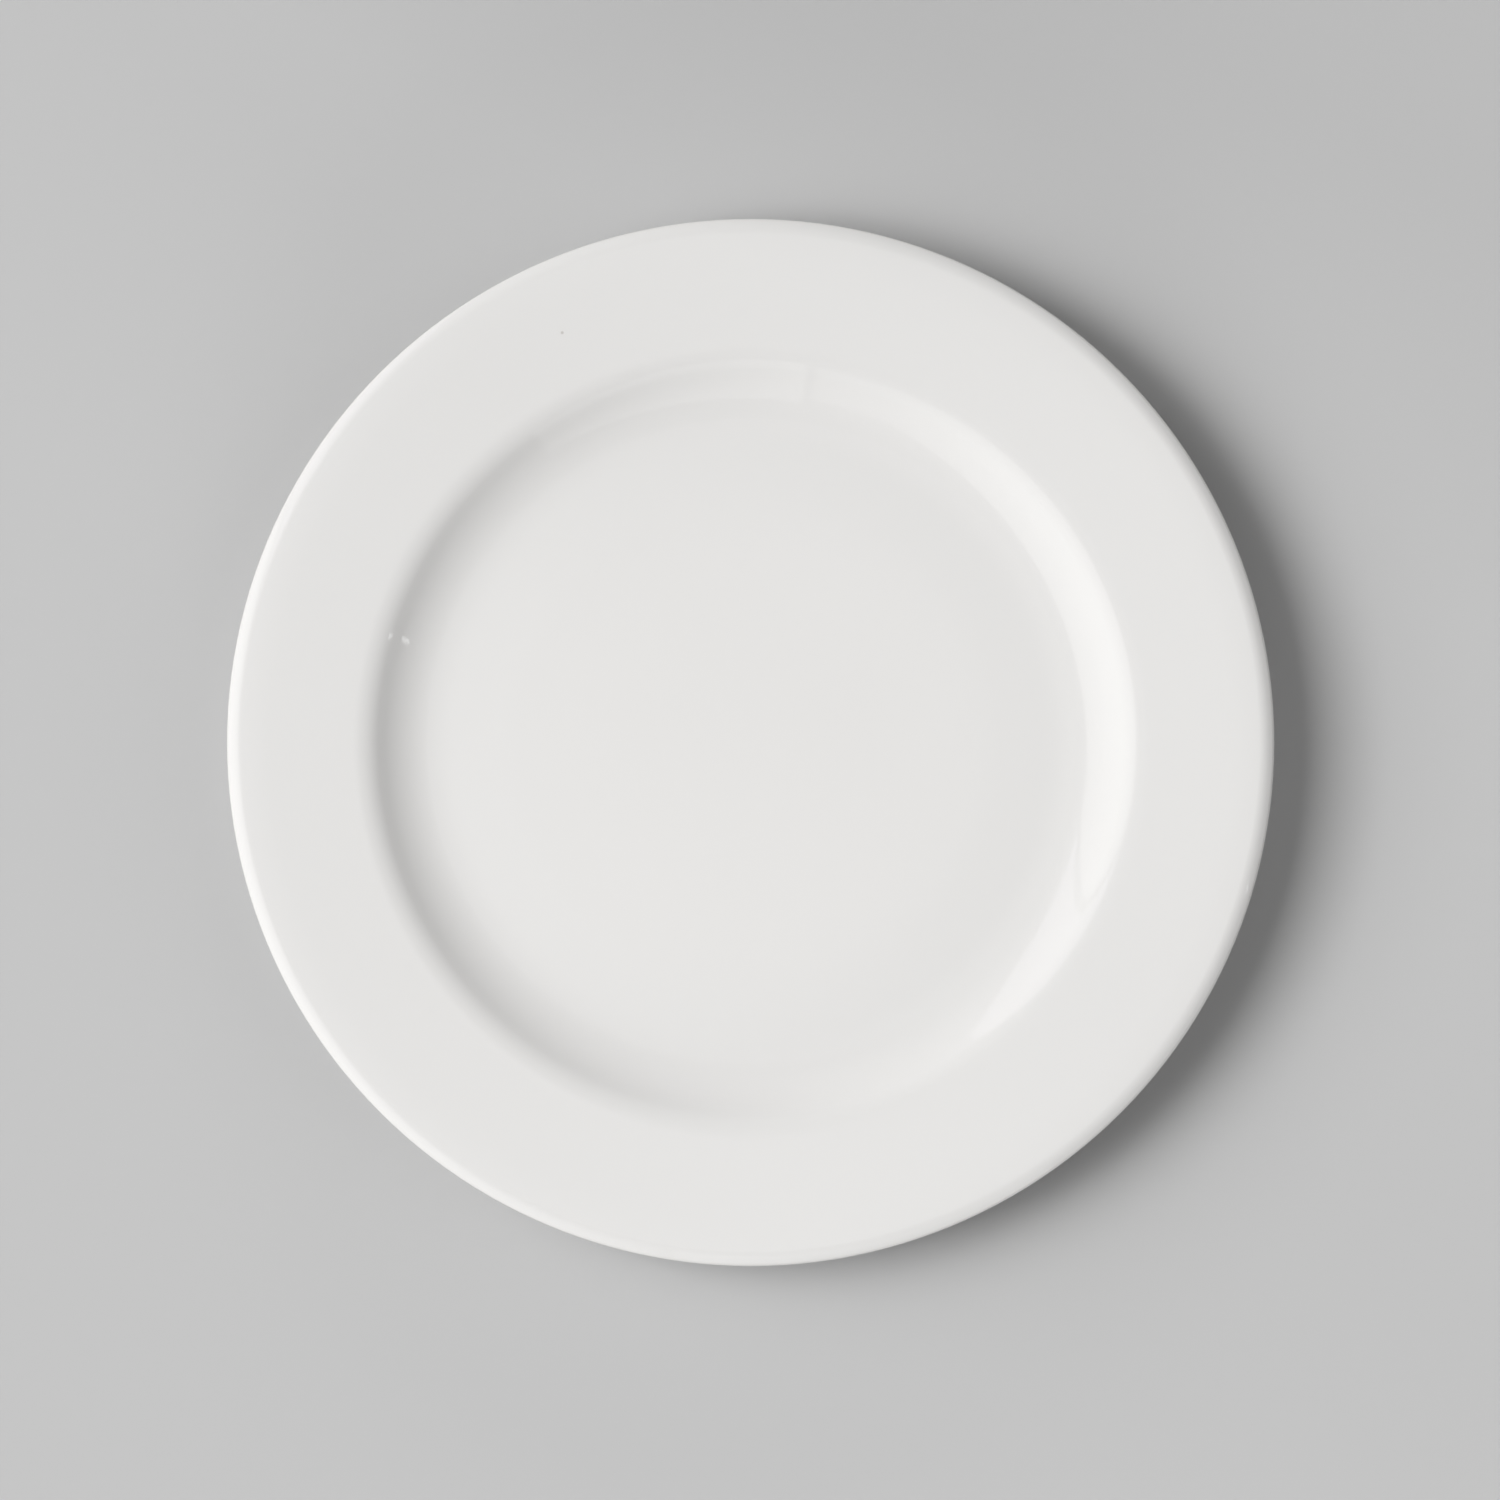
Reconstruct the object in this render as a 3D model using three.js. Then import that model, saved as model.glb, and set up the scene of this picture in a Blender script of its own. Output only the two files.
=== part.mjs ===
// A round white bread plate of glazed porcelain: a flat well, a low curved wall, a wide plain rim and a foot ring.
// Millimetres, +Z up. The origin is the middle of the plane that the foot ring stands on.
import * as THREE from 'three';
import { mergeGeometries, mergeVertices } from 'three/addons/utils/BufferGeometryUtils.js';

// Overall
const DIAMETER = 165; // across the glazed edge
const GLAZE = 0.3; // thickness of the fired glaze
const SEGMENTS = 56; // flats round the plate

// Rim, measured in from the edge
const EDGE_THICKNESS = 2.95; // glazed edge, top to bottom
const EDGE_BEVEL = 1.32; // how far the rounding of the edge reaches in
const EDGE_SHOULDER = 3.2; // rounding where rim and edge meet
const EDGE_NOSE = 0.6; // rounding of the outermost line
const LEVEL_WIDTH = 3.4; // the last part of the rim lies level
const LEVEL_ROUNDING = 60;
const RIM_WIDTH = 15.56; // the part of the rim that slopes
const RIM_RISE = 0.9; // how much the rim rises on its way out

// Wall of the well, from the rim down to the floor
const LIP_WIDTH = 2.01; // the rim rolls over into the wall
const LIP_DROP = 0.39;
const LIP_ROUNDING = 11.5;
const WALL_WIDTH = 5.1;
const WALL_DROP = 3.25;
const WALL_BREAK = 6.6; // rounding at the top of the wall
const WALL_FILLET = 15.8; // rounding at the foot of the wall
const TOE_WIDTH = 5.59; // the wall runs out into the floor
const TOE_DROP = 0.59;
const TOE_ROUNDING = 30;
const FLOOR_FALL = 0.28; // the middle of the floor stands this much above its edge
const FLOOR_LEVEL_SHARE = 0.77; // part of the floor's radius that is level
const FLOOR_ROUNDING = 150;

// Underside
const BASE_THICKNESS = 5.2; // floor of the well to the ceiling of the foot recess
const RIM_BACK_DROP = 4.21; // top of the wall down to the corner behind it
const RIM_BACK_OFFSET = 2.57; // that corner lies this much further out
const RIM_BACK_ROUNDING = 6;

// Foot ring
const FOOT_HEIGHT = 4.65; // standing edge to the ceiling of the foot recess
const FOOT_SETBACK = 4.83; // foot of the wall in to the middle of the ring
const FOOT_WIDTH = 2.8; // standing edge before its corners are rounded
const FOOT_SPREAD = 1.7; // each side leans out this much towards the root
const FOOT_OUTER_SHARE = 0.69; // part of the foot's height that shows on its outer side
const FOOT_CORNER = 0.8;
const FOOT_ROOT = 2.2;
const BARE_SHARE = 0.3; // part of the foot's height that is wiped clean of glaze

// Heights and radii of the clay body's corners
const bodyRadius = DIAMETER / 2 - GLAZE;
const shoulderRadius = bodyRadius - EDGE_BEVEL;
const levelRadius = shoulderRadius - LEVEL_WIDTH;
const rimRadius = levelRadius - RIM_WIDTH;
const wallTopRadius = rimRadius - LIP_WIDTH;
const wallFootRadius = wallTopRadius - WALL_WIDTH;
const floorRadius = wallFootRadius - TOE_WIDTH;
const footRadius = wallFootRadius - FOOT_SETBACK;
const recessZ = FOOT_HEIGHT;
const floorZ = recessZ + BASE_THICKNESS;
const toeZ = floorZ - FLOOR_FALL;
const wallFootZ = toeZ + TOE_DROP;
const wallTopZ = wallFootZ + WALL_DROP;
const rimZ = wallTopZ + LIP_DROP;
const edgeTopZ = rimZ + RIM_RISE;
const bodyEdge = EDGE_THICKNESS - 2 * GLAZE;
const footOuter = footRadius + FOOT_WIDTH / 2;
const footInner = footRadius - FOOT_WIDTH / 2;
const outerRootZ = FOOT_HEIGHT * FOOT_OUTER_SHARE;
const bareZ = FOOT_HEIGHT * BARE_SHARE;

// Half section of the clay body as corners: radius, height, rounding, straight pieces in the rounding.
// It runs from the middle of the floor out over the rim and back under it to the middle of the foot recess.
const face = [
  [floorRadius * FLOOR_LEVEL_SHARE, floorZ, FLOOR_ROUNDING, 1],
  [floorRadius, toeZ, TOE_ROUNDING, 2],
  [wallFootRadius, wallFootZ, WALL_FILLET, 4],
  [wallTopRadius, wallTopZ, WALL_BREAK, 3],
  [rimRadius, rimZ, LIP_ROUNDING, 1],
  [levelRadius, edgeTopZ, LEVEL_ROUNDING, 1],
  [shoulderRadius, edgeTopZ, EDGE_SHOULDER, 2],
  [bodyRadius, edgeTopZ - bodyEdge * 0.32, EDGE_NOSE, 1],
  [bodyRadius, edgeTopZ - bodyEdge * 0.68, EDGE_NOSE, 1],
  [shoulderRadius, edgeTopZ - bodyEdge, EDGE_SHOULDER, 1],
  [wallTopRadius + RIM_BACK_OFFSET, wallTopZ - RIM_BACK_DROP, RIM_BACK_ROUNDING, 2],
  [footOuter + FOOT_SPREAD, outerRootZ, FOOT_ROOT, 1],
  [footOuter + (FOOT_SPREAD * bareZ) / outerRootZ, bareZ, 0, 0],
];
const standing = [
  [footOuter, 0, FOOT_CORNER, 1],
  [footInner, 0, FOOT_CORNER, 1],
];
const recess = [
  [footInner - (FOOT_SPREAD * bareZ) / recessZ, bareZ, 0, 0],
  [footInner - FOOT_SPREAD, recessZ, FOOT_ROOT, 2],
];

// Gives each corner its arc; a rounding too large for the sides beside it is made smaller.
function roundCorners(corners, start, end) {
  const path = [start, ...corners, end];
  const sides = path.slice(1).map((to, i) => {
    const [r, z] = [to[0] - path[i][0], to[1] - path[i][1]];
    return { length: Math.hypot(r, z), heading: Math.atan2(z, r) };
  });
  const bends = corners.map((corner, i) => {
    const bend = sides[i + 1].heading - sides[i].heading;
    const turn = Math.atan2(Math.sin(bend), Math.cos(bend));
    return { turn, reach: corner[2] * Math.tan(Math.abs(turn) / 2) };
  });
  const reachOf = (i) => (bends[i] ? bends[i].reach : 0);
  return corners.map(([r, z, rounding, steps], i) => {
    const { turn, reach } = bends[i];
    const before = sides[i].length / Math.max(reach + reachOf(i - 1), 1e-9);
    const after = sides[i + 1].length / Math.max(reach + reachOf(i + 1), 1e-9);
    const scale = Math.min(1, before * 0.995, after * 0.995);
    const side = turn < 0 ? 1 : -1;
    const radius = rounding * scale;
    const heading = sides[i].heading;
    const [outR, outZ] = [-Math.sin(heading), Math.cos(heading)];
    return {
      r: r - reach * scale * Math.cos(heading) - side * radius * outR,
      z: z - reach * scale * Math.sin(heading) - side * radius * outZ,
      radius,
      side,
      heading,
      turn,
      steps,
    };
  });
}

// Points of an arc, set out from the clay by the given amount.
function arcPoints(arc, out) {
  const reach = arc.side * arc.radius + out;
  return Array.from({ length: arc.steps + 1 }, (_, i) => {
    const heading = arc.heading + (arc.steps ? (arc.turn * i) / arc.steps : 0);
    return [arc.r - reach * Math.sin(heading), arc.z + reach * Math.cos(heading)];
  });
}

const arcs = roundCorners([...face, ...standing, ...recess], [0, floorZ], [0, recessZ]);
const faceArcs = arcs.slice(0, face.length);
const recessArcs = arcs.slice(face.length + standing.length);
const faceRun = (out) => [[0, floorZ + out], ...faceArcs.flatMap((arc) => arcPoints(arc, out))];
const recessRun = (out) => [...recessArcs.flatMap((arc) => arcPoints(arc, out)), [0, recessZ - out]];
const standingRun = arcs.slice(face.length, -recess.length).flatMap((arc) => arcPoints(arc, 0));

// Turns a run of points about the plate's axis, with the side on the left of the run outwards.
function turned(run) {
  const points = run.map(([r, z]) => new THREE.Vector2(r, z)).reverse();
  const skin = new THREE.LatheGeometry(points, SEGMENTS).rotateX(Math.PI / 2);
  skin.deleteAttribute('normal');
  skin.deleteAttribute('uv');
  return skin;
}

function flipped(skin) {
  const index = skin.getIndex();
  for (let i = 0; i < index.count; i += 3) {
    const second = index.getX(i + 1);
    index.setX(i + 1, index.getX(i + 2));
    index.setX(i + 2, second);
  }
  return skin;
}

function closed(...skins) {
  const solid = mergeVertices(mergeGeometries(skins), 1e-5);
  const index = solid.getIndex();
  const kept = [];
  for (let i = 0; i < index.count; i += 3) {
    const [a, b, c] = [index.getX(i), index.getX(i + 1), index.getX(i + 2)];
    if (a !== b && b !== c && c !== a) kept.push(a, b, c);
  }
  solid.setIndex(kept);
  solid.computeVertexNormals();
  return solid;
}

// A coat of glaze: its outer skin, the clay skin under it turned over, and its narrow end on the foot ring.
function coat(run, endFirst) {
  const [clay, outer] = [run(0), run(GLAZE)];
  const at = endFirst ? 0 : clay.length - 1;
  const end = endFirst ? [clay[at], outer[at]] : [outer[at], clay[at]];
  return closed(turned(outer), flipped(turned(clay)), turned(end));
}

function part(name, solid, color, roughness) {
  const mesh = new THREE.Mesh(solid, new THREE.MeshStandardMaterial({ color, roughness, metalness: 0 }));
  mesh.name = name;
  return mesh;
}

const plate = new THREE.Group();
plate.name = 'bread_plate';
plate.add(part('porcelain_body', closed(turned([...faceRun(0), ...standingRun, ...recessRun(0)])), 0xe4e0d8, 0.6));
plate.add(part('glaze_coat', coat(faceRun, false), 0xe6e5e3, 0.12));
plate.add(part('foot_recess_glaze', coat(recessRun, true), 0xe6e5e3, 0.12));

export default plate;
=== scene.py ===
import math

import bpy
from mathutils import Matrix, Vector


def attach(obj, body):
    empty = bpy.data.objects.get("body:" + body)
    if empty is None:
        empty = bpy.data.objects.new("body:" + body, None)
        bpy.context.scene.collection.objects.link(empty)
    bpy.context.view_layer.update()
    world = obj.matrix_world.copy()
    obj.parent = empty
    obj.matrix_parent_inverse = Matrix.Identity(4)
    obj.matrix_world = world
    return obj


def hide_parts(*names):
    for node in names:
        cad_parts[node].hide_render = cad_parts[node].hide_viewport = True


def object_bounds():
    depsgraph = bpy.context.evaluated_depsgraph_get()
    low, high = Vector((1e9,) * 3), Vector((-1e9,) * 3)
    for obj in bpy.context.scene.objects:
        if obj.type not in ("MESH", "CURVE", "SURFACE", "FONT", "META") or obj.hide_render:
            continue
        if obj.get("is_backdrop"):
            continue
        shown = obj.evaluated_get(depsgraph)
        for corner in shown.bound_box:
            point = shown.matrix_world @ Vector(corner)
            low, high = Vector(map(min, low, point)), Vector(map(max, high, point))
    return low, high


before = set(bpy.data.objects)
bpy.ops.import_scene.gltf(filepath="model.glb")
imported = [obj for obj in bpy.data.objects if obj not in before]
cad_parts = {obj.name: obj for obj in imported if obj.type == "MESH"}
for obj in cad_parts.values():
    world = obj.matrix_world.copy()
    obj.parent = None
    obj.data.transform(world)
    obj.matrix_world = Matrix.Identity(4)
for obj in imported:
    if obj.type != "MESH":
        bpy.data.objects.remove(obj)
cad_low, cad_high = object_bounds()

# Clay body: one piece of porcelain, pressed and turned to a level floor, a low curved wall, a wide rim and
# a foot ring, then fired. Only the standing edge of the foot ring stays bare; the rest lies under the glaze.
mm = 0.001
hair = 0.001  # the plate stays this much inside the solids' box; millimetres, like the sizes below
plate_radius = cad_high[0] / mm - hair
plate_height = cad_high[2] / mm - hair
glaze_thickness = 0.3
edge_thickness = 2.95
edge_bevel = 1.32
edge_shoulder = 3.2
edge_nose = 0.6
nose_share = 0.32
level_width = 3.4
level_rounding = 60
rim_width = 15.56
rim_rise = 0.9
lip_width = 2.01
lip_drop = 0.39
lip_rounding = 11.5
wall_width = 5.1
wall_drop = 3.25
wall_break = 6.6
wall_fillet = 15.8
toe_width = 5.59
toe_drop = 0.59
toe_rounding = 30
floor_fall = 0.28
floor_level_share = 0.77
floor_rounding = 150
rim_back_offset = 2.57
rim_back_drop = 4.21
rim_back_rounding = 6
foot_height = 4.65
foot_setback = 4.83
foot_width = 2.8
foot_spread = 1.7
foot_outer_share = 0.69
foot_corner = 0.8
foot_root = 2.2
bare_share = 0.3

clay_r = plate_radius - glaze_thickness
shoulder_r = clay_r - edge_bevel
level_r = shoulder_r - level_width
rim_r = level_r - rim_width
wall_top_r = rim_r - lip_width
wall_foot_r = wall_top_r - wall_width
floor_r = wall_foot_r - toe_width
edge_top = plate_height - glaze_thickness
clay_edge = edge_thickness - 2 * glaze_thickness
rim_z = edge_top - rim_rise
wall_top_z = rim_z - lip_drop
wall_foot_z = wall_top_z - wall_drop
toe_z = wall_foot_z - toe_drop
floor_z = toe_z + floor_fall
foot_outer = wall_foot_r - foot_setback + foot_width / 2
foot_inner = foot_outer - foot_width
foot_root_z = foot_height * foot_outer_share
bare_z = foot_height * bare_share
clay_face = [  # radius, height, rounding and steps of each corner, from the floor over the rim to the foot
    (floor_r * floor_level_share, floor_z, floor_rounding, 5),
    (floor_r, toe_z, toe_rounding, 8),
    (wall_foot_r, wall_foot_z, wall_fillet, 16),
    (wall_top_r, wall_top_z, wall_break, 14),
    (rim_r, rim_z, lip_rounding, 8),
    (level_r, edge_top, level_rounding, 6),
    (shoulder_r, edge_top, edge_shoulder, 12),
    (clay_r, edge_top - nose_share * clay_edge, edge_nose, 8),
    (clay_r, edge_top - (1 - nose_share) * clay_edge, edge_nose, 8),
    (shoulder_r, edge_top - clay_edge, edge_shoulder, 8),
    (wall_top_r + rim_back_offset, wall_top_z - rim_back_drop, rim_back_rounding, 10),
    (foot_outer + foot_spread, foot_root_z, foot_root, 8),
    (foot_outer + foot_spread * bare_z / foot_root_z, bare_z, 0, 0),
]
clay_foot = [
    (foot_outer, 0, foot_corner, 8),
    (foot_inner, 0, foot_corner, 8),
]
clay_recess = [
    (foot_inner - foot_spread * bare_share, bare_z, 0, 0),
    (foot_inner - foot_spread, foot_height, foot_root, 10),
]


def rounded_corners(corners, start, end):
    """Gives each corner its arc; a rounding too large for the sides beside it is made smaller."""
    path = [start] + [c[:2] for c in corners] + [end]
    sides = [(b[0] - a[0], b[1] - a[1]) for a, b in zip(path, path[1:])]
    headings = [math.atan2(z, r) for r, z in sides]
    bends = [math.remainder(b - a, math.tau) for a, b in zip(headings, headings[1:])]
    reaches = [c[2] * math.tan(abs(bend) / 2) for c, bend in zip(corners, bends)] + [0.0]
    arcs = []
    for i, (r, z, rounding, count) in enumerate(corners):
        before = math.hypot(*sides[i]) / max(reaches[i] + reaches[i - 1], 1e-9)
        after = math.hypot(*sides[i + 1]) / max(reaches[i] + reaches[i + 1], 1e-9)
        share = min(1.0, before * 0.995, after * 0.995)
        bulge = 1 if bends[i] < 0 else -1
        heading = headings[i]
        radius = rounding * share
        middle_r = r - reaches[i] * share * math.cos(heading) + bulge * radius * math.sin(heading)
        middle_z = z - reaches[i] * share * math.sin(heading) - bulge * radius * math.cos(heading)
        arcs.append((middle_r, middle_z, bulge * radius, heading, bends[i], count))
    return arcs


def run_over(arcs, coat=0.0):
    """Points along the arcs, set out from the clay by the coat."""
    points = []
    for middle_r, middle_z, radius, heading, bend, count in arcs:
        for k in range(count + 1):
            turn = heading + (bend * k / count if count else 0.0)
            reach = radius + coat
            points.append((middle_r - reach * math.sin(turn), middle_z + reach * math.cos(turn)))
    return points


def drawn(name, points):
    """A line through the points, drawn from one vertex and left selected in edit mode."""
    bpy.ops.object.select_all(action="DESELECT")
    bpy.ops.mesh.primitive_plane_add(size=1 * mm)
    piece = bpy.context.object
    piece.name = name
    piece.data.name = name
    bpy.ops.object.mode_set(mode="EDIT")
    bpy.ops.mesh.select_all(action="SELECT")
    bpy.ops.mesh.merge(type="CENTER")
    bpy.ops.transform.translate(value=points[0])
    for point, following in zip(points, points[1:]):
        step = [b - a for a, b in zip(point, following)]
        bpy.ops.mesh.extrude_vertices_move(TRANSFORM_OT_translate={"value": step})
    bpy.ops.mesh.select_all(action="SELECT")
    return piece


def drawn_and_turned(name, run):
    """A closed piece: the half section drawn, turned about the plate's axis and smoothed."""
    piece = drawn(name, [(r * mm, 0, z * mm) for r, z in run])
    bpy.ops.mesh.spin(steps=192, angle=math.tau, center=(0, 0, 0), axis=(0, 0, 1))
    bpy.ops.mesh.select_all(action="SELECT")
    bpy.ops.mesh.remove_doubles(threshold=0.004 * mm)
    bpy.ops.mesh.normals_make_consistent(inside=False)
    bpy.ops.object.mode_set(mode="OBJECT")
    bpy.ops.object.shade_smooth_by_angle(angle=math.radians(40))
    return piece


clay_arcs = rounded_corners(clay_face + clay_foot + clay_recess, (0, floor_z), (0, foot_height))
face_arcs = clay_arcs[:len(clay_face)]
recess_arcs = clay_arcs[-len(clay_recess):]
clay_run = [(0, floor_z)] + run_over(clay_arcs) + [(0, foot_height)]
clay_body = drawn_and_turned("clay_body", clay_run)


def new_material(name):
    material = bpy.data.materials.new(name)
    material.use_nodes = True
    nodes = material.node_tree.nodes
    return material, nodes, material.node_tree.links, nodes["Principled BSDF"]


def tone_between(nodes, links, factor, first, second):
    """Mixes two tones; each is a colour or the output of another node."""
    mix = nodes.new("ShaderNodeMix")
    mix.data_type = "RGBA"
    for socket, tone in ((mix.inputs["A"], first), (mix.inputs["B"], second)):
        if isinstance(tone, tuple):
            socket.default_value = (*tone, 1)
        else:
            links.new(tone, socket)
    links.new(factor, mix.inputs["Factor"])
    return mix.outputs["Result"]


def fitted(nodes, links, value, low, high, new_low=0.0, new_high=1.0):
    """Eases from one number to another while the value goes from low to high."""
    step = nodes.new("ShaderNodeMapRange")
    step.interpolation_type = "SMOOTHSTEP"
    step.inputs["From Min"].default_value = low
    step.inputs["From Max"].default_value = high
    step.inputs["To Min"].default_value = new_low
    step.inputs["To Max"].default_value = new_high
    links.new(value, step.inputs["Value"])
    return step.outputs["Result"]


def speckle(nodes, links, place, scale, detail):
    noise = nodes.new("ShaderNodeTexNoise")
    noise.inputs["Scale"].default_value = scale
    noise.inputs["Detail"].default_value = detail
    links.new(place, noise.inputs["Vector"])
    return noise.outputs["Fac"]


def raised(nodes, links, height, distance, strength=1.0, under=None):
    bump = nodes.new("ShaderNodeBump")
    bump.inputs["Strength"].default_value = strength
    bump.inputs["Distance"].default_value = distance
    links.new(height, bump.inputs["Height"])
    if under is not None:
        links.new(under, bump.inputs["Normal"])
    return bump.outputs["Normal"]


clay_deep = (0.70, 0.672, 0.62)
clay_pale = (0.80, 0.775, 0.73)
clay_rubbed = (0.55, 0.53, 0.50)
grain_scale = 2600
grain_height = 0.03 * mm
rub_scale = 90
bare_clay, nodes, links, shader = new_material("bare_clay")
place = nodes.new("ShaderNodeTexCoord").outputs["Object"]
grain = speckle(nodes, links, place, grain_scale, 4)
rubbed = speckle(nodes, links, place, rub_scale, 3)
fired_tone = tone_between(nodes, links, fitted(nodes, links, grain, 0.35, 0.7), clay_deep, clay_pale)
rub_share = fitted(nodes, links, rubbed, 0.55, 0.75, 0.0, 0.35)
links.new(tone_between(nodes, links, rub_share, fired_tone, clay_rubbed), shader.inputs["Base Color"])
links.new(raised(nodes, links, grain, grain_height), shader.inputs["Normal"])
shader.inputs["Roughness"].default_value = 0.82
shader.inputs["Specular IOR Level"].default_value = 0.25
clay_body.data.materials.append(bare_clay)
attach(clay_body, "root")
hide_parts("porcelain_body")

# Glaze on the face and back: a clear glass coat over the white clay, dipped on and fired. It covers the
# face, goes round the edge and down the back, and thins out where it was wiped off the foot ring's side.
outer_skin = [(0, floor_z + glaze_thickness)] + run_over(face_arcs, glaze_thickness)
under_skin = [(0, floor_z)] + run_over(face_arcs)
wiped_r = (outer_skin[-1][0] + under_skin[-1][0]) / 2
wiped_z = (outer_skin[-1][1] + under_skin[-1][1]) / 2
outer_skin[-1] = (wiped_r, wiped_z)
glaze_coat = drawn_and_turned("glaze_coat", outer_skin + under_skin[::-1])

glaze_cool = (0.799, 0.789, 0.775)
glaze_warm = (0.810, 0.800, 0.787)
glaze_painted_shade = (0.786, 0.778, 0.766)  # painted shade: darker glaze from the middle of the floor out to the toe, and over the wall and rim
glaze_thinned = (0.801, 0.788, 0.770)
glaze_ior = 1.5
cloud_scale = 38
ripple_scale = 75
ripple_height = 0.02 * mm
peel_scale = 700
peel_height = 0.002 * mm
bump_strength = 0.35
shade_from = 0.57 * floor_r * mm
shade_to = 0.98 * floor_r * mm
thin_from = (clay_r - 0.6) * mm
thin_to = (clay_r + 0.2) * mm
white_glaze, nodes, links, shader = new_material("white_glaze")
place = nodes.new("ShaderNodeTexCoord").outputs["Object"]
split = nodes.new("ShaderNodeSeparateXYZ")
links.new(place, split.inputs["Vector"])
flat = nodes.new("ShaderNodeCombineXYZ")
links.new(split.outputs["X"], flat.inputs["X"])
links.new(split.outputs["Y"], flat.inputs["Y"])
from_axis = nodes.new("ShaderNodeVectorMath")
from_axis.operation = "LENGTH"
links.new(flat.outputs["Vector"], from_axis.inputs[0])
radius = from_axis.outputs["Value"]
cloud = speckle(nodes, links, place, cloud_scale, 2)
cloud_tone = tone_between(nodes, links, cloud, glaze_cool, glaze_warm)
# Painted shade: the glaze darkens from the middle of the floor towards the toe and stays darker over the
# wall and rim.
toe_shade = fitted(nodes, links, radius, shade_from, shade_to, 0.0, 0.8)
shaded_tone = tone_between(nodes, links, toe_shade, cloud_tone, glaze_painted_shade)
thinned = fitted(nodes, links, radius, thin_from, thin_to, 0.0, 0.5)
edge_tone = tone_between(nodes, links, thinned, shaded_tone, glaze_thinned)

iron_brown = (0.36, 0.32, 0.28)
speck_r = 71.0
speck_turn = math.radians(114.7)
speck_z = rim_z + rim_rise * (speck_r - rim_r) / rim_width + glaze_thickness
speck_place = (speck_r * math.cos(speck_turn) * mm, speck_r * math.sin(speck_turn) * mm, speck_z * mm)
speck_core = 0.12 * mm
speck_edge = 0.34 * mm
from_speck = nodes.new("ShaderNodeVectorMath")
from_speck.operation = "DISTANCE"
from_speck.inputs[1].default_value = speck_place
links.new(place, from_speck.inputs[0])
speck = fitted(nodes, links, from_speck.outputs["Value"], speck_core, speck_edge, 0.45, 0.0)
links.new(tone_between(nodes, links, speck, edge_tone, iron_brown), shader.inputs["Base Color"])

ripple = raised(nodes, links, speckle(nodes, links, place, ripple_scale, 1), ripple_height, bump_strength)
peel = raised(nodes, links, speckle(nodes, links, place, peel_scale, 1), peel_height, bump_strength, ripple)
links.new(peel, shader.inputs["Normal"])
links.new(fitted(nodes, links, cloud, 0.3, 0.7, 0.025, 0.045), shader.inputs["Roughness"])
shader.inputs["IOR"].default_value = glaze_ior
glaze_coat.data.materials.append(white_glaze)
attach(glaze_coat, "root")
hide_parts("glaze_coat")

# Glaze in the foot recess: the same coat, cut off from the rest by the bare standing edge. It lines the
# inner side of the foot ring and the ceiling of the recess.
outer_skin = run_over(recess_arcs, glaze_thickness) + [(0, foot_height - glaze_thickness)]
under_skin = run_over(recess_arcs) + [(0, foot_height)]
wiped_r = (outer_skin[0][0] + under_skin[0][0]) / 2
wiped_z = (outer_skin[0][1] + under_skin[0][1]) / 2
outer_skin[0] = (wiped_r, wiped_z)
recess_glaze = drawn_and_turned("foot_recess_glaze", under_skin[::-1] + outer_skin)
recess_glaze.data.materials.append(white_glaze)
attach(recess_glaze, "root")
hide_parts("foot_recess_glaze")

# Table: a plain matt grey top under the plate. It lies a hair below the standing edge of the foot, so that
# the two faces don't share one plane.
table_size = 8
table_gap = 0.05 * mm
table_grey = 0.550
bpy.ops.object.select_all(action="DESELECT")
bpy.ops.mesh.primitive_plane_add(size=table_size, location=(0, 0, -table_gap))
table = bpy.context.object
table.name = "table"
grey_top, nodes, links, shader = new_material("grey_top")
shader.inputs["Base Color"].default_value = (table_grey, table_grey, table_grey, 1)
shader.inputs["Roughness"].default_value = 0.9
shader.inputs["Specular IOR Level"].default_value = 0.0
table.data.materials.append(grey_top)
table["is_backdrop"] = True

# Light: a soft box high on the left with a paler surround, low panels at the sides and a grey room. A
# narrow strip of dark cloth, hung on the far left, takes a little of it from the far right of the table.
bpy.context.scene.view_settings.view_transform = "Standard"
room_level = 0.15
room = bpy.data.worlds.new("room")
bpy.context.scene.world = room
room.use_nodes = True
room_light = room.node_tree.nodes["Background"]
room_light.inputs["Color"].default_value = (1, 1, 1, 1)
room_light.inputs["Strength"].default_value = room_level


def light_panel(name, corners, radiance, tint, swept=0.0, faded=None):
    """A glowing panel: an upright line swept round the table, or a flat outline that may fade along Y."""
    panel = drawn(name, corners)
    if swept:
        bpy.ops.mesh.spin(steps=12, angle=math.radians(swept), center=(0, 0, 0), axis=(0, 0, 1))
    else:
        bpy.ops.mesh.edge_face_add()
    bpy.ops.object.mode_set(mode="OBJECT")
    glow = bpy.data.materials.new(name)
    glow.use_nodes = True
    nodes = glow.node_tree.nodes
    links = glow.node_tree.links
    nodes.remove(nodes["Principled BSDF"])
    emitter = nodes.new("ShaderNodeEmission")
    emitter.inputs["Color"].default_value = (*tint, 1)
    emitter.inputs["Strength"].default_value = radiance
    links.new(emitter.outputs["Emission"], nodes["Material Output"].inputs["Surface"])
    if faded:
        split = nodes.new("ShaderNodeSeparateXYZ")
        links.new(nodes.new("ShaderNodeTexCoord").outputs["Object"], split.inputs["Vector"])
        links.new(fitted(nodes, links, split.outputs["Y"], *faded, radiance), emitter.inputs["Strength"])
    panel.data.materials.append(glow)
    panel.visible_camera = False
    panel.visible_shadow = False
    panel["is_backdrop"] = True
    return panel


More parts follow.
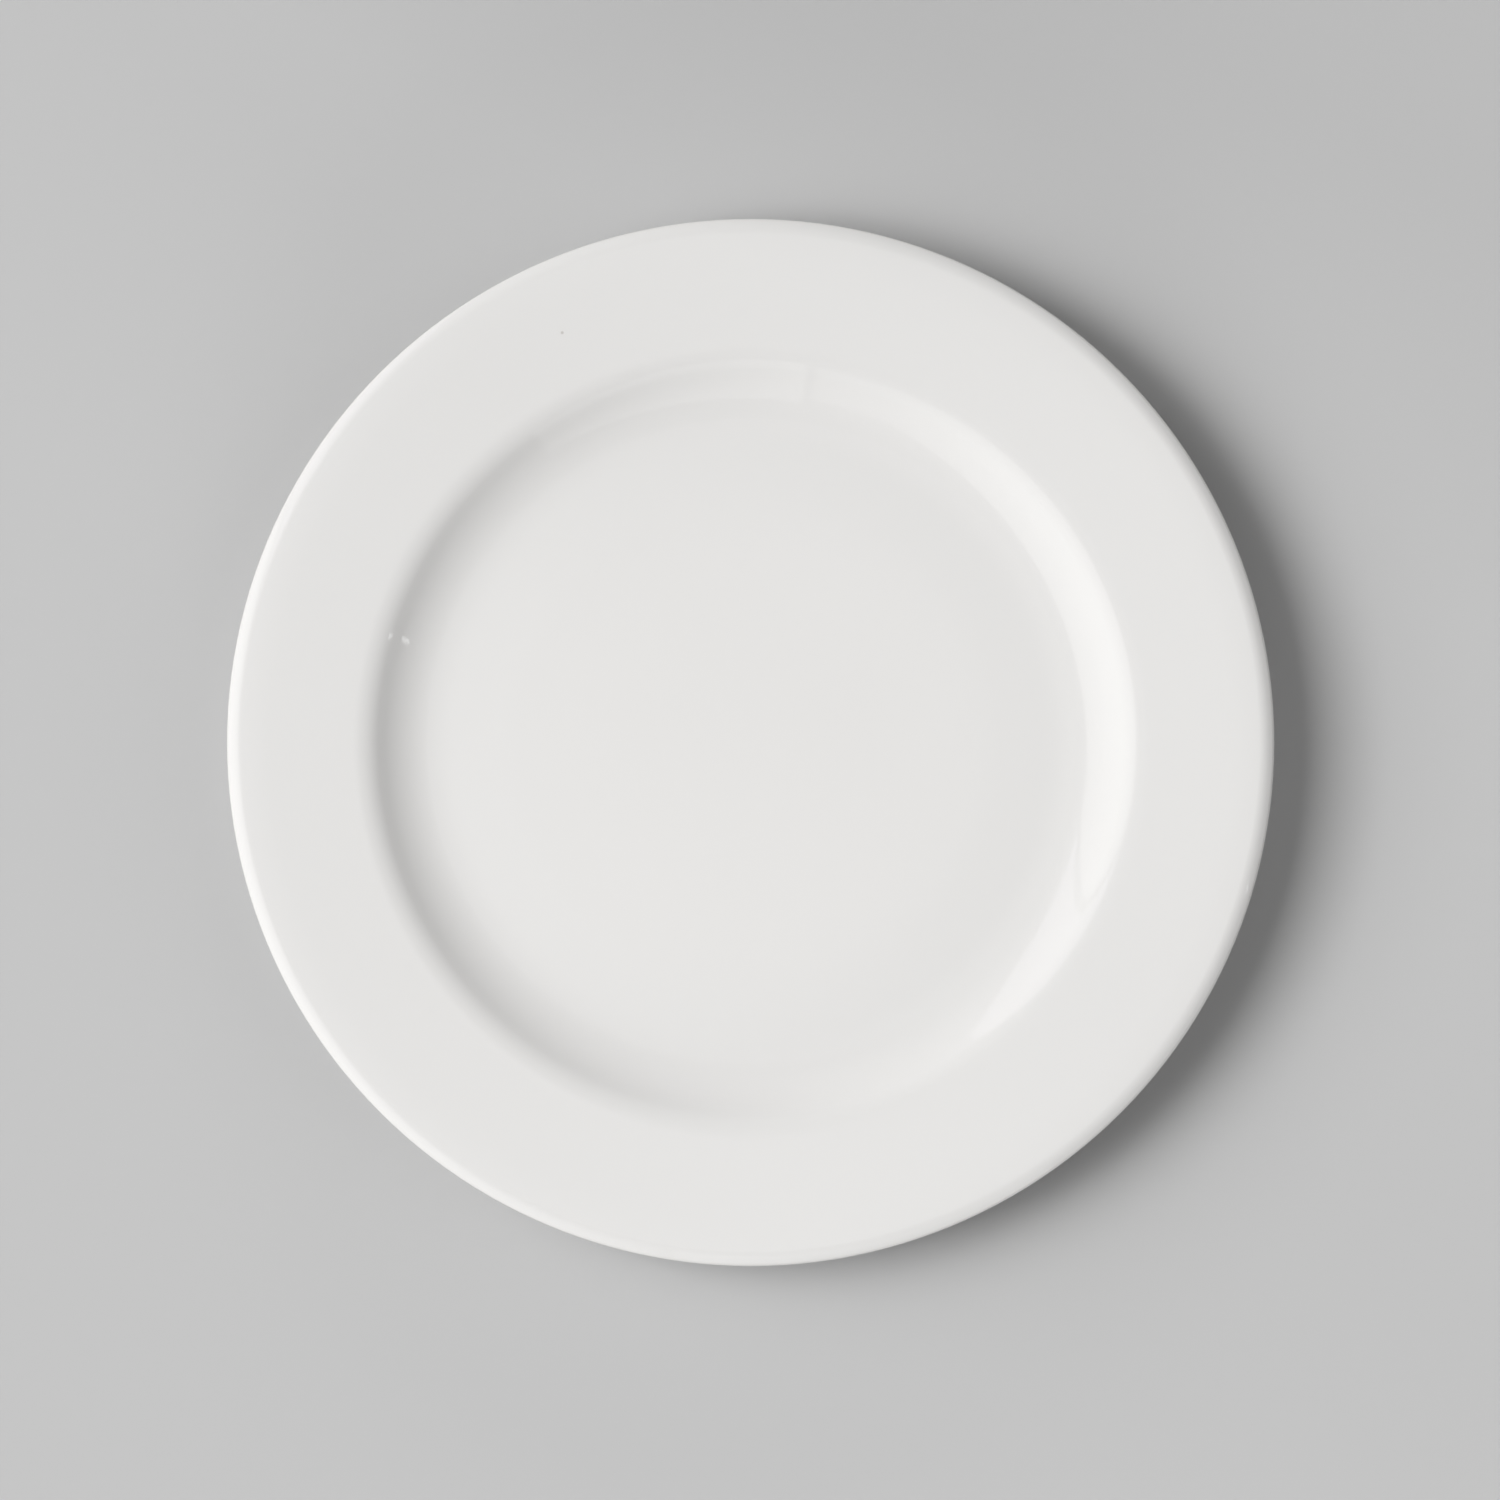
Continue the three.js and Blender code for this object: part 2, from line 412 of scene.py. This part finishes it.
white = (1, 1, 1)
soft_boxes = [  # start and sweep from above, left is 0 and clockwise counts up; height angles; radiance
    ("key_core", -17, 45, 36, 68, 6.6, white),
    ("key_surround", -30, 75, 22, 68, 2.42, white),
    ("near_side", -105, 30, 3, 22, 4.1, white),
    ("far_side", 75, 30, 3, 22, 2.2, white),
    ("right_side", 150, 60, 22, 68, 0.785, white),
]
away = 20.0  # far off, so that the light is even over the table
away_step = 0.02  # each box stands a little behind the one before it
for name, start, sweep, low, high, radiance, tint in soft_boxes:
    turn = math.radians(start)
    foot = (-away * math.cos(turn), away * math.sin(turn))
    ends = [(*foot, away * math.tan(math.radians(height))) for height in (low, high)]
    soft_box = light_panel(name, ends, radiance, tint, swept=sweep)
    soft_box.visible_glossy = False
    away += away_step

strip_edge = (-0.3, 0.235)
strip_width = (0.0254, 0.0564)
strip_hem = 0.2
strip_top = 1.2
strip_far = [a + b for a, b in zip(strip_edge, strip_width)]
hung = [(*strip_edge, strip_hem), (*strip_edge, strip_top)]
hung += [(*strip_far, strip_top), (*strip_far, strip_hem)]
cloth_strip = drawn("cloth_strip", hung)
bpy.ops.mesh.edge_face_add()
bpy.ops.object.mode_set(mode="OBJECT")
dark_cloth, nodes, links, shader = new_material("dark_cloth")
shader.inputs["Base Color"].default_value = (0.05, 0.05, 0.05, 1)
shader.inputs["Roughness"].default_value = 0.9
cloth_strip.data.materials.append(dark_cloth)
cloth_strip.visible_camera = False
cloth_strip.visible_glossy = False
cloth_strip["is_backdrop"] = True

# Reflections: what the glaze mirrors. Two panes of a window on the left, the near wall, a thin bright
# gap on the right and a pale ceiling overhead. They add nothing to the light on the table.
warm = (1, 1, 0.99)
rosy = (0.97, 0.92, 1)
wall = 2.0
left_outline = [
    (0.22, 2.0), (0, 2.18), (-0.18, 2.39), (-0.65, 2.6), (-1.73, 3.02), (-2.25, 3.2),
    (-5.6, 7.0), (-5.6, 0.1), (0.555, 0.1),
]
right_outline = [(0.275, 2.05), (0.82, 1.78), (1.28, 1.0), (1.73, 0.1), (0.61, 0.1)]
near_outline = [(0.15, 1.6), (-0.7, 1.2), (-0.7, 0.2), (0.15, 0.2)]
gap_outline = [(-0.004, 0.61), (-0.012, 0.9), (0.002, 0.9), (0.008, 0.61)]
left_fade = (-2.6 * wall, -0.2 * wall, 0.6)
panes = [  # turn from the left wall, radiance, tint, outline in shares of the distance (along, up) and fade
    ("left_pane", 0, 1.2, warm, left_outline, left_fade),
    ("right_pane", 0, 1.16, rosy, right_outline, None),
    ("near_wall", 90, 0.8, warm, near_outline, None),
    ("thin_gap", 163.5, 4.5, white, gap_outline, None),
]
mirrored = []
for name, turn, radiance, tint, outline, faded in panes:
    c = math.cos(math.radians(turn))
    s = math.sin(math.radians(turn))
    corners = [(-wall * c - y * wall * s, -wall * s + y * wall * c, z * wall) for y, z in outline]
    mirrored.append(light_panel(name, corners, radiance, tint, faded=faded))
ceiling = 2.2
overhead_radius = 0.39
overhead_radiance = 0.5
turns = [k * math.tau / 24 for k in range(24)]
disc = [(overhead_radius * math.cos(t), overhead_radius * math.sin(t), ceiling) for t in turns]
mirrored.append(light_panel("overhead", disc, overhead_radiance, white))
for panel in mirrored:
    panel.visible_diffuse = False
    panel.active_material.cycles.emission_sampling = "NONE"

# Camera: straight above the plate with a long lens. The plate's radius and its distance from the middle of
# the picture, in pixels, are those of the photo.
picture_pixels = 1500
plate_pixels = 523.7
right_pixels = -0.67
up_pixels = -7.56
pixel = cad_high[0] / plate_pixels
distance = 1.6
edge_level = (plate_height - edge_thickness / 2) * mm  # the widest line of the plate
sensor = 36
bpy.ops.object.camera_add(location=(right_pixels * pixel, up_pixels * pixel, distance), rotation=(0, 0, 0))
camera = bpy.context.object
camera.data.sensor_width = sensor
camera.data.lens = sensor * (distance - edge_level) / (picture_pixels * pixel)
camera.data.clip_end = 100
bpy.context.scene.camera = camera

low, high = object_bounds()
